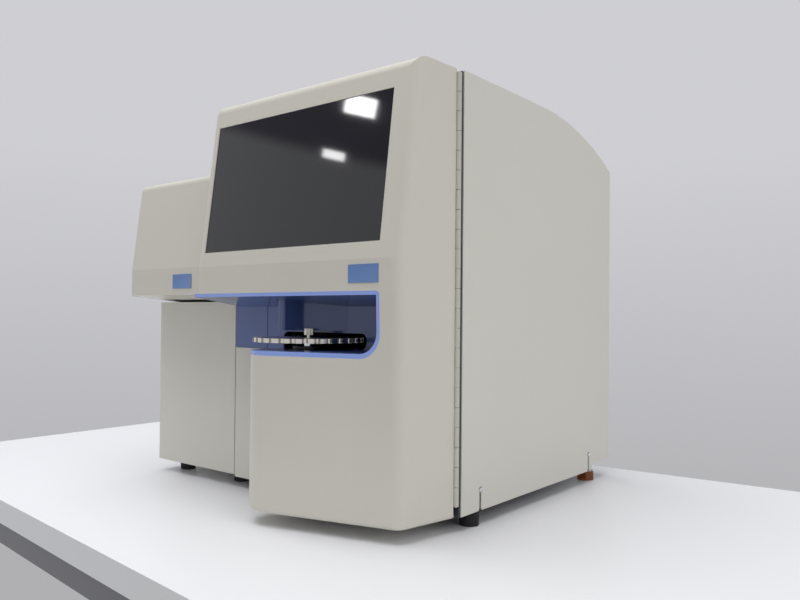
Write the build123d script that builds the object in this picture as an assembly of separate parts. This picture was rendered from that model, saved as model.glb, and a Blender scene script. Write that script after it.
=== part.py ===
from build123d import *
import math
import os

# Bench-top cell culture analyzer with an osmometer module at its left side, in millimetres.
# The cabinet stands on four feet. Its whole front is one hinged door, a C-shaped moulding that
# reaches round the open sampling bay: the touch screen is above the bay, a bowed cover below it.
# Everything is drawn from the door hinge: X runs to the right, Y to the back, Z up from the lower
# edge of the side panels. The last step moves each piece so that the origin lies on the bench,
# under the middle of the analyzer.

# Cabinet
cabinet_width = 420.5
cabinet_height = 577.5
cabinet_depth = 462.5
panel_proud = 3.5
panel_setback = 7.5
sheet = 1.5
flange = 12.0
top_flat = 209.5
top_arc_radius = 550.0
rear_notch_height = 12.0
rear_notch_length = 62.0
chassis_sheet = 2.0
foot_height = 19.0
seat_gap = 0.3
keyhole_height = 28.0
keyhole_width = 4.5
keyhole_places = (52.7, 388.0)
rear_lip = 14.0
front_lip = 10.0
pan_height = 40.0
screw_shank = 4.0
screw_head_diameter = 8.4
screw_head = 2.2
front_foot_diameter = 27.0
foot_draft = 0.6
front_foot_inset = 11.2
front_foot_y = 45.5
amber_foot_radius = 15.0
amber_foot_height = 15.0
amber_stud_diameter = 8.0
rear_foot_inset = 15.0
rear_foot_back = 59.0

# Door
door_gap = 4.0
door_edge_inset = 1.0
door_rise = 0.3
door_bottom = -1.2
door_wall = 3.5
lower_taper = 10.2
head_taper = 3.45
shell_gap = 0.5
barrel_room = 5.5
column_foot = 12.0
head_left = -405.0
head_front = 109.2
head_tilt = 7.44
brow_height = 39.8
head_radius = 15.0
lower_left = -258.0
lower_turn = 14.7
lower_face_x = -102.3
lower_face_y = -115.1
lower_right_radius = 18.0
lower_left_radius = 40.0
lower_edge_radius = 6.0
door_swing = 110.0

# Sampling bay
bay_right = -39.0
bay_bottom = 205.0
bay_top = 289.0
bay_lower_radius = 33.0
bay_upper_radius = 5.5
trim_width = 5.0
trim_floor = 6.0
ceiling_drop = 13.0
bay_back = -20.0
bay_skin = 3.0
bay_seam = -341.5
seam_gap = 1.4
wall_right = -46.0
wall_bottom = 206.0
wall_top = 286.0
slot_left = -305.0
slot_right = -137.0
slot_bottom = 211.2
slot_top = 233.5
slot_radius = 9.0
slot_deep_width = 27.0
slot_deep = 6.0
bay_clear = 1.0

# Screen
screen_width = 344.2
screen_height = 194.2
screen_left = -385.3
screen_rise = 21.2
screen_recess = 1.2
screen_overlap = 4.0
glass_thickness = 3.0
display_depth = 12.0
display_margin = 6.0

# Piano hinge
knuckle_length = 25.4
knuckle_count = 22
knuckle_diameter = 7.6
pin_diameter = 3.0
pin_clearance = 0.05
knuckle_gap = 0.6
leaf_width = 25.0
leaf_thickness = 1.2
leaf_relief = 4.6
hinge_bottom = 14.8
stiffener_short = 14.0

# Carousel
carousel_x = -219.5
carousel_y = -50.0
carousel_radius = 78.0
carousel_bottom = 221.0
carousel_thickness = 6.0
notch_count = 30
notch_width = 8.0
notch_depth = 5.5
hub_diameter = 13.0
spindle_diameter = 6.0
running_clearance = 0.05
arm_bottom = 211.6
arm_thickness = 3.0
arm_back = 34.0
arm_flange = 17.6
arm_width = 44.0
knob_diameter = 13.5
knob_height = 9.0
knob_neck_diameter = 5.7
knob_neck_height = 3.5
knob_flutes = 24

# Hood over the carousel
hood_left = -258.0
hood_nose_left = -253.0
hood_nose_right = -241.0
hood_front = -79.0
hood_right = -172.0
hood_bottom = 236.8
hood_top = 298.0
hood_wall = 2.5
hood_nose_radius = 4.0
hood_hollow_radius = 20.0
hood_hollow_angle = 151.4
knob_room = 5.8
sweep_gap = 2.5

# Sample probe
probe_station = 12
probe_diameter = 2.0
probe_tip = 240.0
probe_travel = 26.0
rod_diameter = 6.0
rod_offset = -22.0
rod_y = -26.0
screw_offset = 12.0
screw_diameter = 5.0
bracket_margin = 11.0
bracket_bottom = 300.0
bracket_top = 420.0
bracket_plate = 3.0
bracket_arm = 6.0
bracket_reach = 42.0
carriage_height = 24.0
carriage_drop = 14.0
motor_side = 28.0
motor_height = 30.0

# Pumps
pump_x = -72.0
pump_heights = (340.0, 406.0)
pump_side = 62.0
pump_depth = 30.0
pump_race = 46.0
pump_floor = 8.0
pump_shaft = 6.0
roller_diameter = 10.0
roller_circle = 24.0
tube_diameter = 4.0

# Sensor module
sensor_left = -232.0
sensor_width = 104.0
sensor_bottom = 304.0
sensor_height = 132.0
sensor_depth = 30.0
card_width = 74.0
card_height = 44.0
card_depth = 16.0
card_proud = 4.0
card_inset = 8.0
card_rise = 14.0
card_radius = 3.0
electrode_count = 4
electrode_pitch = 12.5
electrode_diameter = 7.0
electrode_depth = 3.0
latch_inset = 10.0
latch_screw = 5.0
latch_shoulder = 9.0
latch_head = 2.0
lever_tab = 6.0
lever_length = 24.0
lever_width = 10.0
lever_thickness = 4.0

# Reagent bay
pack_width = 92.0
pack_height = 178.0
pack_front = -62.0
pack_back = 172.0
pack_gap = 2.0
pack_radius = 8.0
tray_wall = 2.0
tray_right = -46.0
tray_bottom = 6.0

# Inside
supply_x = (-320.0, -210.0)
supply_y = (200.0, 380.0)
supply_height = 60.0
board_left = -390.0
board_width = 350.0
board_front = 210.0
board_depth = 190.0
board_thickness = 1.6
board_margin = 10.0
board_components = ((60.0, 50.0, 12.0), (140.0, 120.0, 8.0), (240.0, 60.0, 20.0), (300.0, 140.0, 10.0))
component_side = 40.0
shelf_height = 228.0
pillar_height = 10.0
pillar_diameter = 6.0

# Rear face
fan_side = 92.0
fan_depth = 25.0
fan_x = -110.0
fan_drop = 107.0
inlet_x = -350.0
inlet_z = 72.0
port_x = -350.0
port_z = 130.0
fan_bore = 86.0
vent_length = 44.0
vent_width = 4.0
vent_columns = 2
vent_rows = 6
vent_x = -330.0
vent_drop = 55.0
vent_pitch_x = 56.0
vent_pitch_z = 12.0
inlet_width = 28.0
inlet_height = 48.0
usb_width = 13.2
usb_height = 5.8
jack_width = 16.0
jack_height = 13.5
port_pitch = 22.0
rocker_width = 20.0
rocker_height = 13.0
rocker_throw = 16.0
rocker_sink = 5.0
rocker_stub = 1.5
rocker_axle_diameter = 2.0
rocker_drop = 12.0
socket_rise = 3.0

# Side module
module_width = 210.0
module_front = -20.0
module_rear = 400.0
module_bottom = 1.0
module_top = 480.0
module_wall = 3.0
module_head_front = 84.3
module_head_back = 30.0
module_head_bottom = 289.0
module_underside_drop = 10.0
module_crease = 332.5
module_radius = 12.0

right_face = panel_proud
left_face = panel_proud - cabinet_width
rear_face = panel_setback + cabinet_depth
chassis_front = knuckle_diameter / 2
chassis_back = chassis_front + chassis_sheet
inner_right = right_face - sheet
inner_left = left_face + sheet
module_left = left_face - module_width
arc_run = cabinet_depth - top_flat
rear_height = cabinet_height - top_arc_radius + math.sqrt(top_arc_radius ** 2 - arc_run ** 2)
door_back = -door_gap
tilt_tangent = math.tan(math.radians(head_tilt))
lower_tangent = math.tan(math.radians(lower_turn))
shell_back = chassis_front - shell_gap
door_height = cabinet_height + door_rise
crease_height = bay_top + brow_height
column_low = bay_bottom + bay_lower_radius
sensor_front = chassis_front - sensor_depth
card_front = sensor_front - card_proud
card_left = sensor_left + card_inset
card_places = (sensor_bottom + card_rise, sensor_bottom + sensor_height - card_rise - card_height)
lever_pivot_x = sensor_left + sensor_width - latch_inset
column_left = lower_face_x - (head_front + lower_face_y) / lower_tangent
rear_notch_start = rear_face - rear_notch_length
rear_panel_top = rear_height - rear_lip
fan_z = rear_panel_top - fan_drop
vent_z = fan_z - vent_drop
tray_left = tray_right - 2 * tray_wall - 2 * pack_width - 3 * pack_gap
tray_top = tray_bottom + 2 * tray_wall + pack_height + 2 * pack_gap
socket_low = inlet_z - inlet_height / 2 + socket_rise
rocker_z = inlet_z + inlet_height / 2 - rocker_drop
slant = Plane(origin=(0, -head_front, crease_height), x_dir=(1, 0, 0),
              z_dir=(0, -math.cos(math.radians(head_tilt)), math.sin(math.radians(head_tilt))))


def block(x, y, z):
    """A box between the two values given for each direction."""
    size = (x[1] - x[0], y[1] - y[0], z[1] - z[0])
    middle = ((x[0] + x[1]) / 2, (y[0] + y[1]) / 2, (z[0] + z[1]) / 2)
    return Pos(*middle) * Box(*size)


def post(x, y, z, diameter):
    """An upright cylinder between two heights."""
    return Pos(x, y, (z[0] + z[1]) / 2) * Cylinder(diameter / 2, z[1] - z[0])


def peg(x, y, z, diameter):
    """A cylinder lying front to back between two depths."""
    return Pos(x, (y[0] + y[1]) / 2, z) * Rot(90, 0, 0) * Cylinder(diameter / 2, y[1] - y[0])


def side_slab(outline, x):
    """A side-view outline, a face drawn in Y and Z, as a slab between two X values."""
    return Pos(x[0], 0, 0) * extrude(Plane.YZ * outline, x[1] - x[0], dir=(1, 0, 0))


def front_slab(outline, y):
    """A front-view outline, a face drawn in X and Z, as a slab between two depths."""
    return Pos(0, y[0], 0) * extrude(Plane.XZ * outline, y[1] - y[0], dir=(0, 1, 0))


def plan_slab(outline, z):
    """A plan outline as a slab between two heights."""
    return Pos(0, 0, z[0]) * extrude(outline, z[1] - z[0], dir=(0, 0, 1))


# Cabinet

def side_outline(inset):
    """Side view of the cabinet: square front, flat top, long arc down to the rear edge."""
    low, front, rear = inset, panel_setback + inset, rear_face - inset
    arc_start = panel_setback + top_flat
    radius = top_arc_radius - inset
    centre = cabinet_height - top_arc_radius
    reach = rear - arc_start
    rear_top = centre + math.sqrt(radius ** 2 - reach ** 2)
    mid = math.asin(reach / radius) / 2
    middle = (arc_start + radius * math.sin(mid), centre + radius * math.cos(mid))
    edge = Line((front, low), (front, cabinet_height - inset))
    edge += Line((front, cabinet_height - inset), (arc_start, cabinet_height - inset))
    edge += ThreePointArc((arc_start, cabinet_height - inset), middle, (rear, rear_top))
    edge += Line((rear, rear_top), (rear, low))
    edge += Line((rear, low), (front, low))
    return make_face(edge)


def keyhole(y):
    """Slot open at the panel's lower edge, with a flared mouth and a round seat for the screw."""
    seat = Pos(y, keyhole_height) * Circle(keyhole_width / 2)
    neck = Pos(y, keyhole_height / 2) * Rectangle(keyhole_width, keyhole_height)
    mouth = Polygon((y - keyhole_width, 0), (y + keyhole_width, 0), (y, keyhole_width * 1.6), align=None)
    return seat + neck + mouth


def side_panel(outer, inward):
    """Painted side sheet with a return flange down its front edge and a notch under its rear corner."""
    inner = outer + inward * sheet
    lip = inner + inward * flange
    outline = side_outline(0)
    outline -= Polygon((rear_notch_start - rear_notch_height, 0), (rear_face, 0),
                       (rear_face, rear_notch_height), (rear_notch_start, rear_notch_height), align=None)
    for y in keyhole_places:
        outline -= keyhole(y)
    panel = side_slab(outline, (min(outer, inner), max(outer, inner)))
    panel += block((min(inner, lip), max(inner, lip)), (panel_setback, panel_setback + sheet),
                   (pan_height + seat_gap, cabinet_height - flange))
    return panel


def top_cover():
    """One sheet from the front edge over the curved back, with a lip down behind the rear panel."""
    skin = side_slab(side_outline(0) - side_outline(sheet), (inner_left, inner_right))
    skin -= block((inner_left, inner_right), (panel_setback, rear_face), (0, rear_height - rear_lip))
    front = block((inner_left, inner_right), (panel_setback, panel_setback + sheet),
                  (0, cabinet_height - front_lip))
    return skin - front


def base_pan():
    """Folded base sheet with its four edges turned up inside the cabinet."""
    x = (inner_left, inner_right)
    y = (chassis_back, rear_face - sheet)
    pan = block(x, y, (0, pan_height))
    pan -= block((x[0] + chassis_sheet, x[1] - chassis_sheet), (y[0] + chassis_sheet, y[1] - chassis_sheet),
                 (chassis_sheet, pan_height))
    pan -= block(x, (rear_notch_start - rear_notch_height, rear_face), (0, rear_notch_height))
    step = block(x, (rear_notch_start - rear_notch_height - chassis_sheet, rear_notch_start -
                     rear_notch_height), (0, rear_notch_height + chassis_sheet))
    deck = block(x, (rear_notch_start - rear_notch_height - chassis_sheet, y[1]),
                 (rear_notch_height, rear_notch_height + chassis_sheet))
    pan += step + deck
    pan -= block((tray_left - 1, tray_right + 1), (y[0], y[0] + chassis_sheet), (chassis_sheet, pan_height))
    for place in keyhole_places:
        pan -= Pos(0, place, keyhole_height) * Rot(0, 90, 0) * Cylinder(screw_shank / 2, cabinet_width * 2)
    return pan


def chassis_plate():
    """Front bulkhead that carries the hinge, with windows for the reagent packs and the carousel arm."""
    z = (0, cabinet_height - sheet)
    plate = block((inner_left, inner_right), (chassis_front, chassis_back), z)
    for x in ((inner_left, inner_left + chassis_sheet), (inner_right - chassis_sheet, inner_right)):
        plate += block(x, (chassis_back, panel_setback), (pan_height, z[1]))
    plate -= block((tray_left, tray_right), (chassis_front, chassis_back),
                   (tray_bottom, tray_top))
    plate -= block((slot_left, slot_right), (chassis_front, chassis_back), (slot_bottom - 2, slot_top))
    return plate


def rear_panel():
    """Rear sheet with rows of louvre slots, the fan opening and cut-outs for the sockets."""
    y = (rear_face - sheet, rear_face)
    panel = block((inner_left, inner_right), y, (rear_notch_height + chassis_sheet, rear_panel_top))
    panel -= peg(fan_x, y, fan_z, fan_bore)
    panel -= block((inlet_x - inlet_width / 2, inlet_x + inlet_width / 2), y,
                   (inlet_z - inlet_height / 2, inlet_z + inlet_height / 2))
    for x, z, width, height in port_openings():
        panel -= block((x - width / 2, x + width / 2), y, (z - height / 2, z + height / 2))
    vent = SlotOverall(vent_length, vent_width)
    for column in range(vent_columns):
        for row in range(vent_rows):
            place = (vent_x + column * vent_pitch_x, vent_z + row * vent_pitch_z)
            panel -= front_slab(Pos(*place) * vent, y)
    return panel


def port_openings():
    """Place and size of each data socket: two flat ones and one network jack in a row."""
    flat = [(port_x + step * port_pitch, port_z, usb_width, usb_height) for step in (-1, 0)]
    return flat + [(port_x + port_pitch, port_z, jack_width, jack_height)]


def feet(places, diameter, top):
    """Round rubber feet under a flat base, a little narrower at the bench."""
    group = Part()
    for x, y in places:
        foot = Solid.make_cone(diameter / 2 - foot_draft, diameter / 2, foot_height + top)
        group += Pos(x, y, -foot_height) * foot
    return group


def amber_feet(places):
    """Amber blocks with six sides, each on a stud from the raised rear edge of the base."""
    group = Part()
    foot_top = amber_foot_height - foot_height
    for x, y in places:
        prism = plan_slab(Pos(x, y) * RegularPolygon(amber_foot_radius, 6), (-foot_height, foot_top))
        group += prism + post(x, y, (foot_top, rear_notch_height), amber_stud_diameter)
    return group


def panel_screws():
    """Pan-head screws in the keyholes of the right side panel, threaded into the base pan's wall."""
    group = Part()
    length = sheet + chassis_sheet
    for y in keyhole_places:
        seat = Pos(right_face, y, keyhole_height) * Rot(0, 90, 0)
        head = extrude(Circle(screw_head_diameter / 2), screw_head)
        head = fillet(head.edges().sort_by(Axis.Z)[-1:], screw_head * 0.7)
        group += seat * (head + Pos(0, 0, -length / 2) * Cylinder(screw_shank / 2, length))
    return group


# Door

def flank(y, inset, taper):
    """X of the door's right flank at a depth; it tapers more at the foot than at the head."""
    angle = math.radians(taper)
    return -door_edge_inset + (y + door_gap) * math.tan(angle) - inset / math.cos(angle)


def lower_face(x, inset):
    """Y of the lower cover's turned front face at an X."""
    return lower_face_y + (x - lower_face_x) * lower_tangent + inset / math.cos(math.radians(lower_turn))


def head_form(inset, back):
    """Head above the bay: upright brow, tilted screen face, edges rounded except above the hinge."""
    front = -head_front + inset
    bend = crease_height - inset * math.tan(math.radians(head_tilt / 2))
    top = door_height - inset
    top_front = front + (top - bend) * tilt_tangent
    low = bay_top - trim_width
    side = Polygon((back, low), (front, low), (front, bend), (top_front, top), (back, top), align=None)
    body = side_slab(side, (head_left + inset, 0))
    far = front - 10
    beyond = Polygon((flank(back, inset, head_taper), back), (flank(far, inset, head_taper), far),
                     (20, far), (20, back), align=None)
    body -= plan_slab(beyond, (low, top))
    left, right = head_left + inset, flank(front, inset, head_taper)
    rounded = []
    for edge in body.edges():
        spot = edge.center()
        at_back = spot.Y > back - 1
        at_foot = spot.Z < low + 1
        at_crease = abs(spot.Z - bend) < 1 and left + 5 < spot.X < right - 5
        at_hinge_side = spot.Z > top - 1 and spot.X > right - 20
        if not (at_back or at_foot or at_crease or at_hinge_side):
            rounded.append(edge)
    return fillet(rounded, head_radius - inset)


def lower_corner(inset):
    """Corner point where the turned front face of the lower cover meets its flank."""
    x = -door_edge_inset
    for step in range(8):
        y = lower_face(x, inset)
        x = flank(y, inset, lower_taper)
    return x, lower_face(x, inset)


def lower_outline(inset, back):
    """Plan of the lower cover: tapered flank, turned front face, well-rounded left corner."""
    corner = lower_corner(inset)
    left = lower_left + inset
    outline = Polygon((flank(back, inset, lower_taper), back), corner,
                      (left, lower_face(left, inset)), (left, back), align=None)
    right_corner = outline.vertices().sort_by_distance(corner)[0]
    outline = fillet(right_corner, lower_right_radius - inset)
    left_corner = outline.vertices().sort_by_distance((left, lower_face(left, inset)))[0]
    return fillet(left_corner, lower_left_radius - inset)


def lower_form(inset, back):
    """Lower cover below the bay, its bottom edge rounded."""
    body = plan_slab(lower_outline(inset, back), (door_bottom + inset, column_low))
    foot = [e for e in body.edges().group_by(Axis.Z)[0] if e.center().Y < back - 1]
    body = fillet(foot, lower_edge_radius - inset * 0.6)
    return body - block((column_left, 10), (-2 * head_front, back + 1), (column_foot, column_low + 1))


def column_section(corner, radius, inset, back, taper):
    """Plan of the column at one height, from its flank to the line where it meets the lower cover."""
    outline = Polygon((flank(back, inset, taper), back), corner, (column_left, lower_face(column_left, inset)),
                      (column_left, back), align=None)
    vertex = outline.vertices().sort_by_distance(corner)[0]
    return fillet(vertex, radius)


def column_form(inset, back):
    """Column right of the bay, which leads from the turned lower face to the straight brow."""
    low = column_section(lower_corner(inset), lower_right_radius - inset, inset, back, lower_taper)
    front = -head_front + inset
    high = column_section((flank(front, inset, head_taper), front), head_radius - inset, inset, back, head_taper)
    return loft([Pos(0, 0, column_foot) * low, Pos(0, 0, bay_top - trim_width) * high])


def door_form(inset, back):
    """The whole door as a filled form, for the outside and, drawn smaller, for its hollow."""
    return head_form(inset, back) + lower_form(inset, back) + column_form(inset, back)


def bay_outline(inset):
    """Front view of the bay window, open to the left, with a large lower right corner."""
    right, low, high = bay_right - inset, bay_bottom + inset * trim_floor / trim_width, bay_top - inset
    far = head_left - 40
    outline = Polygon((far, low), (right, low), (right, high), (far, high), align=None)
    lower = outline.vertices().sort_by_distance((right, low))[0]
    outline = fillet(lower, bay_lower_radius - inset)
    upper = outline.vertices().sort_by_distance((right, high))[0]
    return fillet(upper, bay_upper_radius - inset)


def screen_slab(margin, depth):
    """Slab parallel to the tilted face, over the screen and a margin, between two depths below it."""
    centre = (screen_left + screen_width / 2, screen_rise + screen_height / 2)
    area = Pos(*centre) * Rectangle(screen_width + 2 * margin, screen_height + 2 * margin)
    return extrude(slant.offset(-depth[1]) * area, depth[1] - depth[0])


door_outer = door_form(0, shell_back)
door_hollow = door_form(door_wall, shell_back + 1)
bay_reach = (-170.0, 10.0)


def door_shell():
    """C-shaped door moulding, open at the back, with its screen window and rear rib flange."""
    shell = door_outer - door_hollow
    shell -= front_slab(bay_outline(0), bay_reach)
    shell -= block((-barrel_room, barrel_room), (door_back, shell_back + 1), (door_bottom - 1, door_height + 1))
    shell -= screen_slab(0, (-2, door_wall * 3))
    shell -= screen_slab(screen_overlap, (screen_recess, door_wall * 3))
    return shell


def hood_outline(inset):
    """Plan of the hood: short nose at its left, then a hollow curve round the clamp knob to the wall."""
    left, nose_left, nose_right = hood_left + inset, hood_nose_left + inset, hood_nose_right - inset
    front, right = hood_front + inset, hood_right - 2 * inset
    turn = math.radians(hood_hollow_angle)
    reach = knob_diameter / 2 + knob_room + inset
    hollow = (carousel_x + reach * math.cos(turn), carousel_y + reach * math.sin(turn))
    outline = Polygon((left, chassis_front), (nose_left, front), (nose_right, front), hollow,
                      (right, bay_back), (right, chassis_front), align=None)
    corner = outline.vertices().sort_by_distance(hollow)[0]
    outline = fillet(corner, hood_hollow_radius + inset)
    return fillet(outline.vertices().group_by(Axis.Y)[0], max(hood_nose_radius - inset, 1))


def hood_sweep():
    """Plan of the space that the hood needs in the door's ceiling while the door swings away."""
    room = offset(hood_outline(0), sweep_gap)
    outer = math.hypot(hood_nose_left, hood_front) + sweep_gap
    inner = math.hypot(hood_right, bay_back) - sweep_gap
    behind = Polygon((-400, hood_front - sweep_gap), (hood_nose_left, hood_front - sweep_gap),
                     (hood_right, bay_back - sweep_gap), (hood_right, 0), (-400, 0), align=None)
    return room + ((Circle(outer) - Circle(inner)) & behind)


def ceiling_wedge():
    """Ceiling slab that drops from the trim to the back of the bay."""
    front, rear, top = -head_front, bay_back - bay_clear, bay_top
    high, low = bay_top - trim_width, bay_top - trim_width - ceiling_drop
    side = Polygon((front, high), (rear, low), (rear, top), (front, top), align=None)
    return side_slab(side, (head_left, bay_right))


def bay_liner():
    """Blue lining of the bay in one moulding: floor, right wall, ceiling and the light front rim."""
    band = front_slab(bay_outline(0) - bay_outline(trim_width), (bay_reach[0], bay_back - bay_clear))
    below = plan_slab(lower_outline(0, door_back), (bay_bottom, column_low))
    under_head = block((head_left, bay_right), (-head_front, door_back), (bay_top - trim_width, bay_top))
    liner = (band & below) + (band & column_form(0, door_back)) + (band & under_head)
    liner += ceiling_wedge() & block((bay_seam + seam_gap / 2, bay_right), bay_reach, (0, bay_top - trim_width))
    return liner - plan_slab(hood_sweep(), (bay_top - 40, bay_top + 1))


def ceiling_end():
    """Left end of the ceiling, a separate panel beyond the seam."""
    wedge = ceiling_wedge() & block((head_left, bay_seam - seam_gap / 2), bay_reach, (0, bay_top - trim_width))
    return wedge


def display_glass():
    """Touch glass behind the screen window."""
    return screen_slab(screen_overlap - seat_gap, (screen_recess, screen_recess + glass_thickness))


def display_module():
    """Flat display panel with its metal back and the board cover on it."""
    depth = screen_recess + glass_thickness
    panel = screen_slab(display_margin, (depth, depth + display_depth))
    cover = screen_slab(-50, (depth + display_depth, depth + display_depth + 6))
    return panel + cover


def door_stiffener():
    """Steel strip inside the column that the hinge leaf is riveted to."""
    top = hinge_bottom + knuckle_length * knuckle_count
    return block((-leaf_width - 6, -door_wall - 2), (-chassis_front - chassis_sheet, -chassis_front),
                 (hinge_bottom, top - stiffener_short))


# Hinge

def hinge_leaf(side, parity):
    """Leaf with every other knuckle; side is -1 for the door's leaf and 1 for the cabinet's."""
    radius = knuckle_diameter / 2
    y = (radius - leaf_thickness, radius) if side > 0 else (-radius, leaf_thickness - radius)
    top = hinge_bottom + knuckle_count * knuckle_length
    leaf = block((-leaf_width, -leaf_relief), y, (hinge_bottom, top))
    for step in range(parity, knuckle_count, 2):
        low = hinge_bottom + step * knuckle_length + knuckle_gap / 2
        z = (low, low + knuckle_length - knuckle_gap)
        leaf += block((-leaf_relief, 0), y, z) + post(0, 0, z, knuckle_diameter)
    return leaf - post(0, 0, (hinge_bottom - 1, top + 1), pin_diameter + 2 * pin_clearance)


def hinge_pin():
    top = hinge_bottom + knuckle_count * knuckle_length
    return post(0, 0, (hinge_bottom - 1, top + 1), pin_diameter)


# Sampling bay on the cabinet

def bay_wall():
    """Blue back wall with the long slot that the carousel turns in."""
    z = (wall_bottom, wall_top)
    wall = block((bay_seam + seam_gap / 2, wall_right), (bay_back, bay_back + bay_skin), z)
    for x in ((bay_seam + seam_gap / 2, bay_seam + seam_gap / 2 + bay_skin), (wall_right - bay_skin, wall_right)):
        wall += block(x, (bay_back + bay_skin, chassis_front), z)
    slot = Polygon((slot_left, slot_bottom), (slot_right, slot_bottom), (slot_right, slot_top),
                   (slot_left, slot_top), align=None)
    slot = fillet(slot.vertices(), slot_radius)
    deep = Polygon((slot_left, wall_bottom), (slot_left + slot_deep_width, wall_bottom),
                   (slot_left + slot_deep_width, slot_top - slot_radius),
                   (slot_left, slot_top - slot_radius), align=None)
    return wall - front_slab(slot + deep, (bay_back - 1, bay_back + bay_skin + 1))


def bay_end_wall():
    """Left end of the back wall, beyond the upright seam."""
    z = (wall_bottom, wall_top)
    wall = block((left_face, bay_seam - seam_gap / 2), (bay_back, bay_back + bay_skin), z)
    for x in ((left_face, left_face + bay_skin), (bay_seam - seam_gap / 2 - bay_skin, bay_seam - seam_gap / 2)):
        wall += block(x, (bay_back + bay_skin, chassis_front), z)
    return wall


def lower_fascia():
    """Painted strip left of the lower cover, down to the foot of the cabinet."""
    x = (left_face, lower_left - 4)
    z = (-2, wall_bottom - 0.5)
    strip = block(x, (bay_back, chassis_front), z)
    strip -= block((x[0] + bay_skin, x[1] - bay_skin), (bay_back + bay_skin, chassis_front),
                   (z[0] + bay_skin, z[1]))
    return strip


def sampler_hood():
    """Blue hood that stands on the back wall over the carousel, closed below and open at the top."""
    hood = plan_slab(hood_outline(0), (hood_bottom, hood_top))
    hood -= plan_slab(hood_outline(hood_wall), (hood_bottom + hood_wall, hood_top))
    return hood & block((hood_left, hood_right), (hood_front, bay_back), (hood_bottom, hood_top))


def carousel_disc():
    """Stainless disc with open notches around its rim and a centre bore for the clamp screw."""
    disc = Circle(carousel_radius)
    for step in range(notch_count):
        spot = Rot(0, 0, step * 360 / notch_count) * Pos(carousel_radius, 0)
        disc -= spot * SlotOverall(2 * notch_depth, notch_width)
    disc -= Circle(knob_neck_diameter / 2 + running_clearance)
    plate = plan_slab(disc, (carousel_bottom, carousel_bottom + carousel_thickness))
    return Pos(carousel_x, carousel_y, 0) * plate


def spindle():
    """Hub and shaft under the disc, turning in the arm."""
    hub = post(carousel_x, carousel_y, (arm_bottom + arm_thickness + 0.3, carousel_bottom), hub_diameter)
    shaft = post(carousel_x, carousel_y, (arm_bottom, arm_bottom + arm_thickness + 0.3), spindle_diameter)
    return hub + shaft


def carousel_arm():
    """Flat drive arm that reaches through the slot and carries the spindle at its end."""
    x = (carousel_x - arm_width / 2, carousel_x + arm_width / 2)
    arm = Polygon((x[0], arm_back), (x[0], carousel_y), (x[1], carousel_y), (x[1], arm_back), align=None)
    arm += Pos(carousel_x, carousel_y) * Circle(arm_width / 2)
    arm -= Pos(carousel_x, carousel_y) * Circle(spindle_diameter / 2 + running_clearance)
    plate = plan_slab(arm, (arm_bottom, arm_bottom + arm_thickness))
    return plate + block(x, (chassis_back, chassis_back + arm_thickness), (arm_bottom - arm_flange, arm_bottom))


def clamp_knob():
    """Fluted thumb screw that clamps the disc on its spindle."""
    disc_top = carousel_bottom + carousel_thickness
    z = (disc_top + knob_neck_height, disc_top + knob_neck_height + knob_height)
    grip = Circle(knob_diameter / 2)
    for step in range(knob_flutes):
        grip -= Rot(0, 0, step * 360 / knob_flutes) * Pos(knob_diameter / 2, 0) * Rot(0, 0, 45) * Rectangle(0.8, 0.8)
    head = plan_slab(grip, z)
    neck = plan_slab(Circle(knob_neck_diameter / 2), (carousel_bottom + seat_gap, z[0]))
    return Pos(carousel_x, carousel_y, 0) * (head + neck)


# Probe drive

station_angle = math.radians(probe_station * 360 / notch_count)
station_radius = carousel_radius - notch_depth + notch_width / 2
probe_x = carousel_x + station_radius * math.cos(station_angle)
probe_y = carousel_y + station_radius * math.sin(station_angle)
rod_x = probe_x + rod_offset
screw_x = probe_x + screw_offset
carriage_top = bracket_top - bracket_arm - carriage_drop
carriage_z = (carriage_top - carriage_height, carriage_top)


def probe_bracket():
    """C-shaped bracket on the bulkhead with two arms for the guide rod and the actuator."""
    x = (rod_x - bracket_margin, screw_x + bracket_margin + 3)
    plate = block(x, (chassis_front - bracket_plate, chassis_front), (bracket_bottom, bracket_top))
    for low in (bracket_bottom, bracket_top - bracket_arm):
        plate += block(x, (-bracket_reach, chassis_front - bracket_plate), (low, low + bracket_arm))
    z = (bracket_bottom, bracket_top)
    plate -= post(rod_x, rod_y, z, rod_diameter) + post(screw_x, rod_y, z, screw_diameter + 4)
    return plate - post(probe_x, probe_y, z, probe_diameter + 6)


def guide_rod():
    """Ground steel rod between the bracket's arms."""
    return post(rod_x, rod_y, (bracket_bottom - 2, bracket_top + 2), rod_diameter)


def probe_actuator():
    """Small stepper motor whose screw runs right through it."""
    half = motor_side / 2
    z = (bracket_top, bracket_top + motor_height)
    body = block((screw_x - half, screw_x + half), (rod_y - half, rod_y + half), z)
    body = fillet(body.edges().filter_by(Axis.Z), 4)
    return body - post(screw_x, rod_y, z, screw_diameter + 2 * running_clearance)


def probe_carriage():
    """Block that slides on the guide rod, with the actuator's screw and the probe fixed in it."""
    body = block((rod_x - 9, screw_x + 9), (rod_y - 10, probe_y + 4), carriage_z)
    body -= post(rod_x, rod_y, carriage_z, rod_diameter + 2 * running_clearance)
    body -= post(probe_x, probe_y, carriage_z, probe_diameter)
    return body + post(screw_x, rod_y, (carriage_top, bracket_top + motor_height + 22), screw_diameter)


def sample_probe():
    """Steel sampling needle with its tube fitting on top."""
    needle = post(probe_x, probe_y, (probe_tip, carriage_top), probe_diameter)
    return needle + post(probe_x, probe_y, (carriage_top, carriage_top + 8), 6)


# Pumps

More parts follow.
